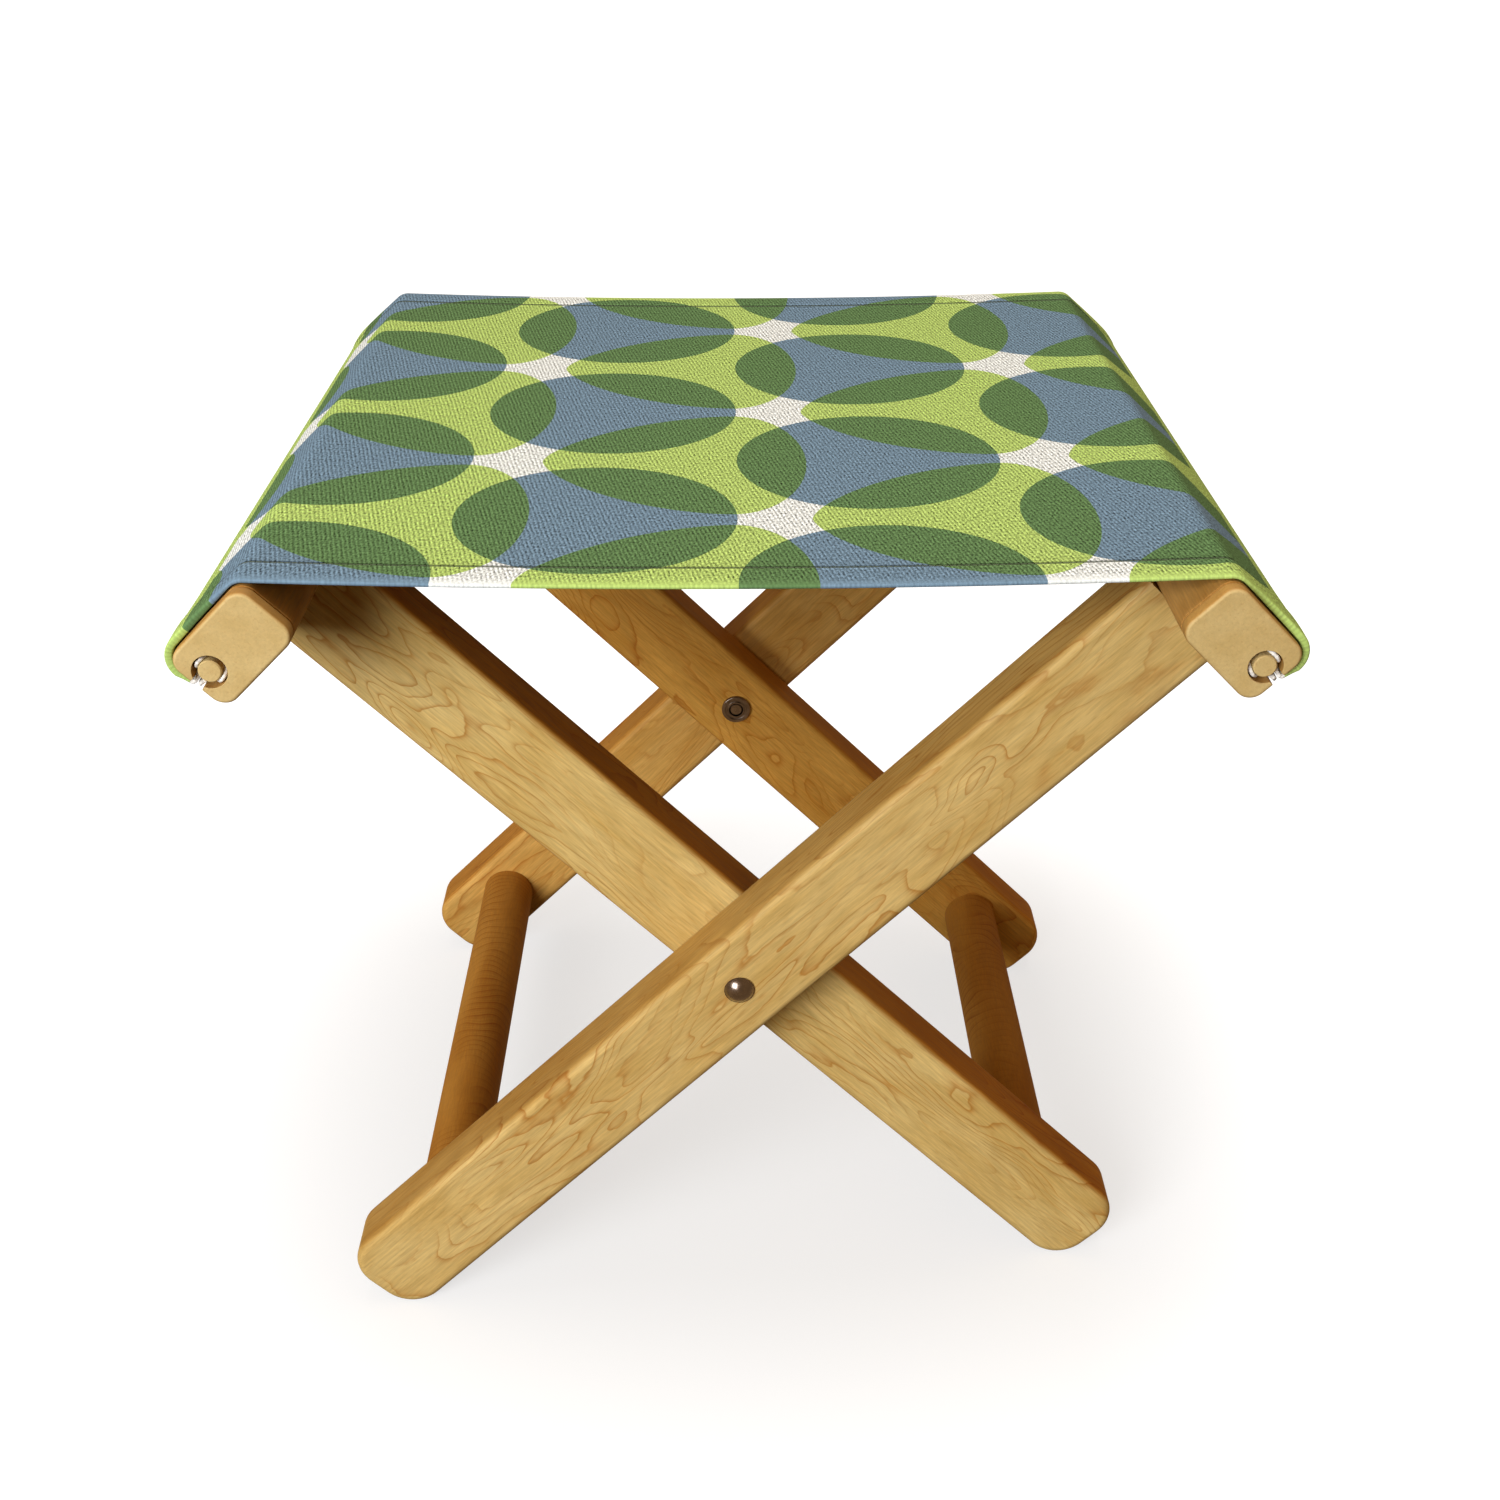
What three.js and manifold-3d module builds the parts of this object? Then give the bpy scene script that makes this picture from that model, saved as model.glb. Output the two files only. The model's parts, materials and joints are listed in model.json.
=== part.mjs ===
// A folding camp stool. Two wooden frames cross like an X and turn on two bolts. Each frame is a pair of
// legs joined by a round stretcher near the feet and by a rail across the top. A cloth sling hangs between
// the rails: it runs down the outside of each rail and loops round a rod held in a keyhole slot.
// Millimetres. +X is right, +Y is back, +Z is up, the floor is z = 0 and the fold's axis is x = 0.
import * as THREE from "three";
import { mergeVertices } from "three/addons/utils/BufferGeometryUtils.js";
import Module from "manifold-3d";

const wasm = await Module();
wasm.setup();

// ---- Driving dimensions ----

const gap = 0.3; // between pieces that touch in the real stool
const drillOverrun = 1; // how far a drill runs past the wood
const segments = {
  corner: 10, edge: 5, hole: 32, pin: 24, rod: 32, stretcher: 48, hardware: 40, dome: 8, seat: 32,
};

const leg = {
  tilt: Math.PI / 4, // slope of the legs when the stool stands open
  width: 48,
  thickness: 30,
  footReach: 260, // pivot to the foot's end
  railReach: 264, // pivot to the rail's inner face
  footRadius: 18.5,
  edgeRadius: 4.5,
};
const stance = {
  depth: 350, // over the outer faces of the outer legs
  legGap: 1.6, // between an outer leg and the inner leg that crosses it
};
const stretcher = {
  diameter: 31,
  fromFoot: 51, // its centre, from the foot's end
  tenonDiameter: 20,
  tenonLength: 16,
  tenonEase: 1,
};
const rail = { thickness: 30, height: 45, cornerRadius: 7, overhang: 50, capThickness: 7.5 };
const keyhole = { endWall: 1.7, slotWidth: 5.6, clothRoom: 0.85 };
const rod = { diameter: 9.4, setback: 0.5, endEase: 0.5 };
const railPin = { diameter: 8, depthInLeg: 22, depthInRail: 17, edgeWall: 2 };
const bolt = { diameter: 8, headDiameter: 14, headHeight: 4, holeClearance: 0.3, endEase: 0.8 };
const nut = {
  flangeDiameter: 17,
  flangeThickness: 2.2,
  flangeEase: 0.4,
  rimWidth: 2.2,
  hubInset: 0.47, // the raised hub's edge, in from the sleeve's outside
  sleeveWall: 1.4,
  sleeveLength: 12,
};
const washer = { diameter: 22, thickness: 1 };
const cloth = {
  thickness: 1.2,
  sag: 3.5,
  rodSlack: 0.35,
  slotBend: 1.8, // radius where the cloth turns into the slot
  layerGap: 0.6, // between its two runs in the slot
  neckRise: 0.2, // how far inside the keyhole's wall the two runs part
  loopStart: -0.29 * Math.PI, // where on the rod the loop begins and ends
};

// ---- Sizes that follow ----

const outerLegY = stance.depth / 2 - leg.thickness / 2;
const innerLegY = outerLegY - leg.thickness - stance.legGap;
const footCentre = leg.footReach - leg.footRadius;
const stretcherReach = leg.footReach - stretcher.fromFoot;
const pivotHeight = footCentre * Math.sin(leg.tilt)
  + (leg.width / 2 - leg.footRadius) * Math.cos(leg.tilt) + leg.footRadius;
const railEndY = stance.depth / 2 + rail.overhang;
const railBodyY = railEndY - rail.capThickness - gap;
const railMid = leg.railReach + rail.thickness / 2;
const keyholeRadius = rod.diameter / 2 + cloth.rodSlack + cloth.thickness + keyhole.clothRoom;
const keyholeAcross = -rail.height / 2 + keyhole.endWall + keyholeRadius;
const railPinAcross = [
  keyholeAcross + keyholeRadius + railPin.edgeWall + railPin.diameter / 2,
  rail.height / 2 - rail.cornerRadius - railPin.diameter / 2,
];

// ---- Colours and finishes ----

function wood(colour) {
  return new THREE.MeshStandardMaterial({ color: colour, roughness: 0.5, metalness: 0 });
}
function metal(colour) {
  return new THREE.MeshStandardMaterial({ color: colour, roughness: 0.35, metalness: 0.85 });
}
function canvas(colour) {
  return new THREE.MeshStandardMaterial({ color: colour, roughness: 0.9, metalness: 0 });
}

// ---- Shapes ----

// A drawing in the frame's own plane, x along the leg and y across it, made a slab centred on y = 0.
function slab(shape, depth, edge = 0) {
  const options = { depth: depth - 2 * edge, curveSegments: segments.corner, bevelEnabled: edge > 0 };
  if (edge > 0) {
    const bevelSegments = segments.edge;
    Object.assign(options, { bevelThickness: edge, bevelSize: edge, bevelOffset: -edge, bevelSegments });
  }
  const geometry = new THREE.ExtrudeGeometry(shape, options);
  geometry.translate(0, 0, -options.depth / 2);
  geometry.rotateX(Math.PI / 2);
  return geometry;
}

function solidOf(geometry) {
  const bare = geometry.clone();
  bare.deleteAttribute("normal");
  bare.deleteAttribute("uv");
  const merged = mergeVertices(bare);
  return new wasm.Manifold(new wasm.Mesh({
    numProp: 3,
    vertProperties: new Float32Array(merged.attributes.position.array),
    triVerts: new Uint32Array(merged.index.array),
  }));
}

function geometryOf(solid) {
  const { vertProperties, triVerts } = solid.getMesh();
  const geometry = new THREE.BufferGeometry();
  geometry.setAttribute("position", new THREE.BufferAttribute(vertProperties, 3));
  geometry.setIndex(new THREE.BufferAttribute(triVerts, 1));
  return geometry;
}

// A drill along Y, from one y to another, at a place in the frame's plane.
function drillAcross(diameter, along, fromY, toY) {
  const bit = new THREE.CylinderGeometry(diameter / 2, diameter / 2, Math.abs(toY - fromY), segments.hole);
  bit.translate(along, (fromY + toY) / 2, 0);
  return solidOf(bit);
}

// A drill along the leg, from one reach to another.
function drillAlong(diameter, across, from, to) {
  const bit = new THREE.CylinderGeometry(diameter / 2, diameter / 2, to - from, segments.pin);
  bit.rotateZ(-Math.PI / 2);
  bit.translate((from + to) / 2, 0, across);
  return solidOf(bit);
}

function roundedLegShape() {
  const half = leg.width / 2;
  const foot = -leg.footReach;
  const shape = new THREE.Shape();
  shape.moveTo(foot + leg.footRadius, -half);
  shape.lineTo(leg.railReach + leg.edgeRadius, -half);
  shape.lineTo(leg.railReach + leg.edgeRadius, half);
  shape.lineTo(foot + leg.footRadius, half);
  shape.absarc(foot + leg.footRadius, half - leg.footRadius, leg.footRadius, Math.PI / 2, Math.PI);
  shape.absarc(foot + leg.footRadius, leg.footRadius - half, leg.footRadius, Math.PI, Math.PI * 1.5);
  return shape;
}

// One leg centred on y = 0. inside is the side, along Y, that faces the middle of the stool.
function legGeometry(inside, nutRoom) {
  let solid = solidOf(slab(roundedLegShape(), leg.thickness, leg.edgeRadius));
  const face = leg.thickness / 2;
  const cutDepth = leg.edgeRadius + gap;
  const endCut = new THREE.BoxGeometry(2 * cutDepth, 2 * leg.thickness, 2 * leg.width);
  endCut.translate(leg.railReach - gap + cutDepth, 0, 0);
  solid = solid.subtract(solidOf(endCut));

  const pivotHole = bolt.diameter + 2 * bolt.holeClearance;
  solid = solid.subtract(drillAcross(pivotHole, 0, -leg.thickness, leg.thickness));
  if (nutRoom) {
    const sleeveHole = pivotHole + 2 * (nut.sleeveWall + bolt.holeClearance);
    const sleeveEnd = inside * (face - nut.sleeveLength - gap);
    solid = solid.subtract(drillAcross(sleeveHole, 0, sleeveEnd, inside * leg.thickness));
  }

  const socket = stretcher.tenonDiameter + 2 * gap;
  const socketEnd = inside * (face - stretcher.tenonLength - gap);
  solid = solid.subtract(drillAcross(socket, -stretcherReach, socketEnd, inside * leg.thickness));

  for (const across of railPinAcross) {
    const from = leg.railReach - railPin.depthInLeg - gap;
    const to = leg.railReach + drillOverrun;
    solid = solid.subtract(drillAlong(railPin.diameter + 2 * gap, across, from, to));
  }
  return geometryOf(solid);
}

// A round stretcher with a thinner tenon at each end, centred on y = 0.
function stretcherGeometry(shoulderSpan) {
  const radius = stretcher.diameter / 2;
  const tenon = stretcher.tenonDiameter / 2;
  const shoulder = shoulderSpan / 2 - gap;
  const end = shoulderSpan / 2 + stretcher.tenonLength;
  const ease = stretcher.tenonEase;
  return new THREE.LatheGeometry([
    new THREE.Vector2(0, -end),
    new THREE.Vector2(tenon - ease, -end),
    new THREE.Vector2(tenon, -end + ease),
    new THREE.Vector2(tenon, -shoulder),
    new THREE.Vector2(radius, -shoulder),
    new THREE.Vector2(radius, shoulder),
    new THREE.Vector2(tenon, shoulder),
    new THREE.Vector2(tenon, end - ease),
    new THREE.Vector2(tenon - ease, end),
    new THREE.Vector2(0, end),
  ], segments.stretcher);
}

// The rail's section: a rounded rectangle with a keyhole that opens through its lower end.
function railShape() {
  const inner = leg.railReach;
  const outer = leg.railReach + rail.thickness;
  const half = rail.height / 2;
  const round = rail.cornerRadius;
  const slot = keyhole.slotWidth / 2;
  const lip = Math.asin(slot / keyholeRadius);
  const shape = new THREE.Shape();
  shape.moveTo(inner + round, -half);
  shape.lineTo(railMid - slot, -half);
  shape.lineTo(railMid - slot, keyholeAcross - keyholeRadius * Math.cos(lip));
  shape.absarc(railMid, keyholeAcross, keyholeRadius, -Math.PI / 2 - lip, -Math.PI / 2 + lip, true);
  shape.lineTo(railMid + slot, -half);
  shape.lineTo(outer - round, -half);
  shape.absarc(outer - round, round - half, round, -Math.PI / 2, 0);
  shape.absarc(outer - round, half - round, round, 0, Math.PI / 2);
  shape.absarc(inner + round, half - round, round, Math.PI / 2, Math.PI);
  shape.absarc(inner + round, round - half, round, Math.PI, Math.PI * 1.5);
  return shape;
}

// legYs are the places of the two legs that the rail is pinned to.
function railGeometry(legYs) {
  let solid = solidOf(slab(railShape(), 2 * railBodyY));
  for (const legY of legYs) {
    for (const across of railPinAcross) {
      const from = leg.railReach - drillOverrun;
      const to = leg.railReach + railPin.depthInRail + gap;
      const hole = drillAlong(railPin.diameter + 2 * gap, across, from, to);
      solid = solid.subtract(hole.translate([0, legY, 0]));
    }
  }
  return geometryOf(solid);
}

function railPinGeometry() {
  const radius = railPin.diameter / 2;
  const length = railPin.depthInLeg + railPin.depthInRail;
  const pin = new THREE.CylinderGeometry(radius, radius, length, segments.pin);
  pin.rotateZ(-Math.PI / 2);
  return pin;
}

function rodGeometry() {
  const radius = rod.diameter / 2;
  const end = railEndY - rod.setback;
  const ease = rod.endEase;
  return new THREE.LatheGeometry([
    new THREE.Vector2(0, -end),
    new THREE.Vector2(radius - ease, -end),
    new THREE.Vector2(radius, -end + ease),
    new THREE.Vector2(radius, end - ease),
    new THREE.Vector2(radius - ease, end),
    new THREE.Vector2(0, end),
  ], segments.rod);
}

// A strip of even thickness that follows a list of points, as a drawing in the frame's plane.
function stripShape(points, thickness) {
  const near = [];
  const far = [];
  points.forEach((point, i) => {
    const before = points[Math.max(i - 1, 0)];
    const after = points[Math.min(i + 1, points.length - 1)];
    const run = after.clone().sub(before).normalize();
    const side = new THREE.Vector2(-run.y, run.x).multiplyScalar(thickness / 2);
    near.push(point.clone().add(side));
    far.unshift(point.clone().sub(side));
  });
  return new THREE.Shape([...near, ...far]);
}

function arc(centreX, centreY, radius, from, to, steps) {
  return Array.from({ length: steps + 1 }, (_, i) => {
    const angle = from + (to - from) * i / steps;
    return new THREE.Vector2(centreX + radius * Math.cos(angle), centreY + radius * Math.sin(angle));
  });
}

// The cloth on one rail: from the top of its upper corner, down the outside, round the lower corner, in
// through the slot, once round the rod and out of the slot again beside itself.
function wrapShape() {
  const bendRadius = rail.cornerRadius + gap + cloth.thickness / 2;
  const cornerAlong = leg.railReach + rail.thickness - rail.cornerRadius;
  const cornerAcross = rail.height / 2 - rail.cornerRadius;
  const layer = (cloth.thickness + cloth.layerGap) / 2;
  const loopRadius = rod.diameter / 2 + cloth.rodSlack + cloth.thickness / 2;
  const neckAcross = keyholeAcross - keyholeRadius + cloth.neckRise;
  const loopEnd = Math.PI - cloth.loopStart;
  const undersideAcross = -cornerAcross - bendRadius;
  const layerAlong = railMid + layer;
  const points = [
    ...arc(cornerAlong, cornerAcross, bendRadius, leg.tilt, 0, segments.corner),
    ...arc(cornerAlong, -cornerAcross, bendRadius, 0, -Math.PI / 2, segments.corner),
    ...arc(layerAlong + cloth.slotBend, undersideAcross + cloth.slotBend, cloth.slotBend,
      -Math.PI / 2, -Math.PI, segments.edge),
    new THREE.Vector2(layerAlong + layer / 2, neckAcross),
    ...arc(railMid, keyholeAcross, loopRadius, cloth.loopStart, loopEnd, 5 * segments.corner),
    new THREE.Vector2(railMid - layer - layer / 2, neckAcross),
    new THREE.Vector2(railMid - layer, undersideAcross + cloth.slotBend),
  ];
  return stripShape(points, cloth.thickness);
}

// The seat between the two rails' top corners, with a shallow sag, drawn in the world's XZ plane.
function seatShape() {
  const cornerAlong = leg.railReach + rail.thickness - rail.cornerRadius;
  const cornerAcross = rail.height / 2 - rail.cornerRadius;
  const lift = rail.cornerRadius + gap + cloth.thickness / 2;
  const endX = cornerAlong * Math.cos(leg.tilt) - cornerAcross * Math.sin(leg.tilt) - gap;
  const endZ = cornerAlong * Math.sin(leg.tilt) + cornerAcross * Math.cos(leg.tilt) + lift;
  const points = Array.from({ length: segments.seat + 1 }, (_, i) => {
    const x = 2 * i / segments.seat - 1;
    return new THREE.Vector2(endX * x, pivotHeight + endZ - cloth.sag * (1 - x * x));
  });
  return stripShape(points, cloth.thickness);
}

// The bolt: domed head, shank through both legs. Its head rests on y = 0 and its shank runs to +y.
function boltGeometry() {
  const shank = 2 * leg.thickness + stance.legGap + nut.flangeThickness - gap;
  const head = new THREE.Vector2(bolt.headDiameter / 2, -gap);
  const radius = bolt.diameter / 2;
  const domeRadius = (head.x ** 2 + bolt.headHeight ** 2) / (2 * bolt.headHeight);
  const domeAngle = Math.asin(head.x / domeRadius);
  const dome = Array.from({ length: segments.dome + 1 }, (_, i) => {
    const angle = domeAngle * i / segments.dome;
    const height = domeRadius * (Math.cos(angle) - Math.cos(domeAngle));
    return new THREE.Vector2(i === 0 ? 0 : domeRadius * Math.sin(angle), -gap - height);
  });
  const ease = bolt.endEase;
  return new THREE.LatheGeometry([
    ...dome,
    new THREE.Vector2(radius, -gap),
    new THREE.Vector2(radius, shank - ease),
    new THREE.Vector2(radius - ease, shank),
    new THREE.Vector2(0, shank),
  ], segments.hardware);
}

// The sleeve nut: a flange with a raised rim, flush against y = 0, and a sleeve that runs to -y.
function nutGeometry() {
  const bore = bolt.diameter / 2 + bolt.holeClearance;
  const sleeve = bore + nut.sleeveWall;
  const flange = nut.flangeDiameter / 2;
  const rim = flange - nut.rimWidth;
  const hub = sleeve - nut.hubInset;
  const recess = nut.flangeThickness / 2;
  return new THREE.LatheGeometry([
    new THREE.Vector2(bore, -nut.sleeveLength),
    new THREE.Vector2(sleeve, -nut.sleeveLength),
    new THREE.Vector2(sleeve, gap),
    new THREE.Vector2(flange, gap),
    new THREE.Vector2(flange, nut.flangeThickness - nut.flangeEase),
    new THREE.Vector2(flange - nut.flangeEase, nut.flangeThickness),
    new THREE.Vector2(rim, nut.flangeThickness),
    new THREE.Vector2(rim, recess + gap),
    new THREE.Vector2(hub, recess + gap),
    new THREE.Vector2(hub, nut.flangeThickness),
    new THREE.Vector2(bore, nut.flangeThickness),
    new THREE.Vector2(bore, -nut.sleeveLength),
  ], segments.hardware);
}

function washerGeometry() {
  const bore = bolt.diameter / 2 + bolt.holeClearance;
  const half = washer.thickness / 2;
  return new THREE.LatheGeometry([
    new THREE.Vector2(bore, -half),
    new THREE.Vector2(washer.diameter / 2, -half),
    new THREE.Vector2(washer.diameter / 2, half),
    new THREE.Vector2(bore, half),
    new THREE.Vector2(bore, -half),
  ], segments.hardware);
}

// ---- Assembly ----

const stool = new THREE.Group();

function addPiece(group, name, geometry, material, position = [0, 0, 0]) {
  const mesh = new THREE.Mesh(geometry, material);
  mesh.name = name;
  mesh.position.set(...position);
  group.add(mesh);
}

// A frame lies along its own X and is tipped up to the leg's slope about the pivot. The inner frame is the
// same thing turned half round about the vertical, so its own +Y is the stool's front.
function addFrame({ legName, side, legY, legHasNut, turn }) {
  const turned = new THREE.Group();
  turned.position.z = pivotHeight;
  turned.rotation.z = turn;
  stool.add(turned);
  const frame = new THREE.Group();
  frame.rotation.y = -leg.tilt;
  turned.add(frame);

  const backSign = turn === 0 ? 1 : -1;
  const ends = [["front", -backSign], ["back", backSign]];
  for (const [end, sign] of ends) {
    const legPiece = legGeometry(-sign, legHasNut);
    addPiece(frame, `${legName}_leg_${end}`, legPiece, wood("#c8a262"), [0, sign * legY, 0]);
    railPinAcross.forEach((across, i) => {
      const mid = leg.railReach + (railPin.depthInRail - railPin.depthInLeg) / 2;
      const name = `${side}_rail_pin_${end}_${i === 0 ? "lower" : "upper"}`;
      addPiece(frame, name, railPinGeometry(), wood("#c29b5e"), [mid, sign * legY, across]);
    });
  }

  const shoulderSpan = 2 * legY - leg.thickness;
  addPiece(frame, `${legName}_stretcher`, stretcherGeometry(shoulderSpan), wood("#b8884a"),
    [-stretcherReach, 0, 0]);

  addPiece(frame, `${side}_rail`, railGeometry([-legY, legY]), wood("#b98f50"));
  for (const [end, sign] of ends) {
    const capY = sign * (railEndY - rail.capThickness / 2);
    addPiece(frame, `${side}_rail_cap_${end}`, slab(railShape(), rail.capThickness), wood("#cfae74"),
      [0, capY, 0]);
  }
  addPiece(frame, `${side}_sling_rod`, rodGeometry(), wood("#c9a368"), [railMid, 0, keyholeAcross]);
  addPiece(frame, `${side}_sling_wrap`, slab(wrapShape(), 2 * (railBodyY - gap)), canvas("#8aa04e"));
}

addFrame({ legName: "outer", side: "right", legY: outerLegY, legHasNut: false, turn: 0 });
addFrame({ legName: "inner", side: "left", legY: innerLegY, legHasNut: true, turn: Math.PI });

addPiece(stool, "sling_seat", slab(seatShape(), 2 * (railBodyY - gap)), canvas("#8fb04f"));

const innerFaceY = innerLegY - leg.thickness / 2;
const washerY = outerLegY - leg.thickness / 2 - stance.legGap / 2;
for (const [end, sign] of [["front", -1], ["back", 1]]) {
  const pivot = new THREE.Group();
  pivot.position.z = pivotHeight;
  pivot.rotation.z = sign < 0 ? 0 : Math.PI;
  stool.add(pivot);
  addPiece(pivot, `pivot_bolt_${end}`, boltGeometry(), metal("#5a4536"), [0, -stance.depth / 2, 0]);
  addPiece(pivot, `pivot_washer_${end}`, washerGeometry(), metal("#8d8378"), [0, -washerY, 0]);
  addPiece(pivot, `pivot_nut_${end}`, nutGeometry(), metal("#4c3a2d"), [0, -innerFaceY, 0]);
}

export default stool;
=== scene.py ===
# A folding camp stool: two wooden frames that cross like an X and turn on two bolts, with a printed cloth
# sling between their rails. Metres. +X is right, +Y is back, +Z is up, and the floor is z = 0.
import json
import math

import bmesh
import bpy
from mathutils import Matrix, Vector


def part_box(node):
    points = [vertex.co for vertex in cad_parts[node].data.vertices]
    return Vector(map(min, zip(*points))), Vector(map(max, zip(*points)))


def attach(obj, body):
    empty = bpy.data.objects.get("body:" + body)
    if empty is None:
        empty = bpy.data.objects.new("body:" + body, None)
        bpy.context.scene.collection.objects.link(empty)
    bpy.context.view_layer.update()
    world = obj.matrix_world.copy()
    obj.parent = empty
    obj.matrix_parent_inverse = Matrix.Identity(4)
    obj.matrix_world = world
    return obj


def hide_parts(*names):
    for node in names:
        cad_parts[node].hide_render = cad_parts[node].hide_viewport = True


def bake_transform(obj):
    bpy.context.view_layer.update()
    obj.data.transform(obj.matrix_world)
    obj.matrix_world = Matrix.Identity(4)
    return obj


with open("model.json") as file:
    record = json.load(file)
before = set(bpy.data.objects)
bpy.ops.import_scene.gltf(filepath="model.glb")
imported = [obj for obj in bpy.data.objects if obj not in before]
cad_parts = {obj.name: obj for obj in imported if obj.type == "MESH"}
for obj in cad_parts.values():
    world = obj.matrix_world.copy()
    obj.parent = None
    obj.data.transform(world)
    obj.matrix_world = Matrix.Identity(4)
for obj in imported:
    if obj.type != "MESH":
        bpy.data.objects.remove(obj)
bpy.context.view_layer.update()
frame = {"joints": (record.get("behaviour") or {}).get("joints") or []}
scene = bpy.context.scene

# ---- Camera ----
# It stands in front of the stool and above it, about a metre away, and looks 28 degrees down on the seat.
camera_place = Vector((-0.0037, -0.88792, 0.69824))
camera_ahead = Vector((0.010625, 0.88256, -0.47008)).normalized()
camera_right = Vector((0.99993, -0.011817, 0.000416)).normalized()
camera_up = camera_right.cross(camera_ahead).normalized()

camera_data = bpy.data.cameras.new("camera")
camera_data.sensor_width = 36
camera_data.lens = 44.99
camera = bpy.data.objects.new("camera", camera_data)
camera.matrix_world = Matrix.Translation(camera_place) @ Matrix(
    (camera_right, camera_up, -camera_ahead)
).transposed().to_4x4()
scene.collection.objects.link(camera)
scene.camera = camera

# ---- Floor and light ----
# A wide sheet of white paper over a dark cloth, in a dim warm room with one big soft lamp on the left in
# front and one above the seat. The paper glows, more so away from the stool, round a faint soft shadow. Its
# glow and a far white backdrop are there for the camera only, and light nothing.
floor_half = 30
floor_colour = (0.33, 0.35, 0.37)
glow_near = 0.66
glow_far = 1.0
glow_start = 0.15
glow_end = 0.56
flag_depth = 0.02
flag_colour = (0.02, 0.02, 0.02)
backdrop_radius = 25
room_strength = 0.38
room_colour = (1.0, 0.62, 0.30)
lamps = {
    "lamp_front": {"place": (-1.45, -2.35, 1.25), "size": 1.5, "watts": 84, "aim": (0, 0, 0.22)},
    "lamp_above": {"place": (0.0, 0.0, 3.0), "size": 1.2, "watts": 35, "aim": (0, 0, 0.4)},
}

for sheet_name, depth in (("floor", 0), ("floor_flag", -flag_depth)):
    bm = bmesh.new()
    bmesh.ops.create_grid(bm, x_segments=1, y_segments=1, size=floor_half)
    bmesh.ops.translate(bm, vec=(0, 0, depth), verts=bm.verts)
    sheet_mesh = bpy.data.meshes.new(sheet_name)
    bm.to_mesh(sheet_mesh)
    bm.free()
    sheet = bpy.data.objects.new(sheet_name, sheet_mesh)
    scene.collection.objects.link(sheet)
    paper = bpy.data.materials.new(f"{sheet_name}_paper")
    paper.use_nodes = True
    nodes, links = paper.node_tree.nodes, paper.node_tree.links
    shader = nodes["Principled BSDF"]
    shader.inputs["Roughness"].default_value = 0.9
    shader.inputs["Specular IOR Level"].default_value = 0.0
    if depth:
        shader.inputs["Base Color"].default_value = (*flag_colour, 1)
        sheet.visible_camera = sheet.visible_glossy = False
    else:
        shader.inputs["Base Color"].default_value = (*floor_colour, 1)
        shader.inputs["Emission Color"].default_value = (1, 1, 1, 1)
        distance = nodes.new("ShaderNodeVectorMath")
        distance.operation = "LENGTH"
        glow = nodes.new("ShaderNodeMapRange")
        glow.interpolation_type = "SMOOTHSTEP"
        for key, value in ((1, glow_start), (2, glow_end), (3, glow_near), (4, glow_far)):
            glow.inputs[key].default_value = value
        links.new(nodes.new("ShaderNodeTexCoord").outputs["Object"], distance.inputs[0])
        links.new(distance.outputs["Value"], glow.inputs[0])
        links.new(glow.outputs[0], shader.inputs["Emission Strength"])
        sheet.visible_diffuse = sheet.visible_glossy = False
    sheet_mesh.materials.append(paper)

bm = bmesh.new()
bmesh.ops.create_uvsphere(bm, u_segments=48, v_segments=24, radius=backdrop_radius)
bmesh.ops.reverse_faces(bm, faces=bm.faces)
backdrop_mesh = bpy.data.meshes.new("backdrop")
bm.to_mesh(backdrop_mesh)
bm.free()
backdrop = bpy.data.objects.new("backdrop", backdrop_mesh)
backdrop.visible_diffuse = backdrop.visible_glossy = backdrop.visible_shadow = False
scene.collection.objects.link(backdrop)
paper = bpy.data.materials.new("backdrop_paper")
paper.use_nodes = True
shader = paper.node_tree.nodes["Principled BSDF"]
shader.inputs["Base Color"].default_value = (0, 0, 0, 1)
shader.inputs["Specular IOR Level"].default_value = 0.0
shader.inputs["Emission Color"].default_value = (1, 1, 1, 1)
shader.inputs["Emission Strength"].default_value = glow_far
backdrop_mesh.materials.append(paper)

room = bpy.data.worlds.new("room")
room.use_nodes = True
room.node_tree.nodes["Background"].inputs["Color"].default_value = (*room_colour, 1)
room.node_tree.nodes["Background"].inputs["Strength"].default_value = room_strength
scene.world = room
for lamp_name, facts in lamps.items():
    lamp_data = bpy.data.lights.new(lamp_name, "AREA")
    lamp_data.size = facts["size"]
    lamp_data.energy = facts["watts"]
    lamp = bpy.data.objects.new(lamp_name, lamp_data)
    away = Vector(facts["place"]) - Vector(facts["aim"])
    turn = away.to_track_quat("Z", "Y").to_matrix().to_4x4()
    lamp.matrix_world = Matrix.Translation(facts["place"]) @ turn
    scene.collection.objects.link(lamp)
scene.view_settings.view_transform = "Standard"

# ---- Legs ----
# Four flat legs of pale figured hardwood with rounded feet and softly rounded edges, sawn from board and
# finished with satin oil. Each is drilled for the pivot bolt, the stretcher's tenon and two dowels.
leg_width = 0.048
leg_thickness = 0.030
foot_reach = 0.260
rail_reach = 0.264
foot_radius = 0.0185
leg_edge = 0.0045
tilt = math.radians(45)
fit = 0.0003
bolt_hole = 0.0043
sleeve_hole = 0.0060
sleeve_depth = 0.0123
socket_radius = 0.0103
socket_depth = 0.0163
drill_overrun = 0.002
pin_radius = 0.004
pin_depth_in_leg = 0.022
pin_across = (-0.0006, 0.0115)
leg_light = (0.690, 0.480, 0.180)
leg_deep = (0.590, 0.375, 0.115)
leg_line = (0.410, 0.155, 0.018)

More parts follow.
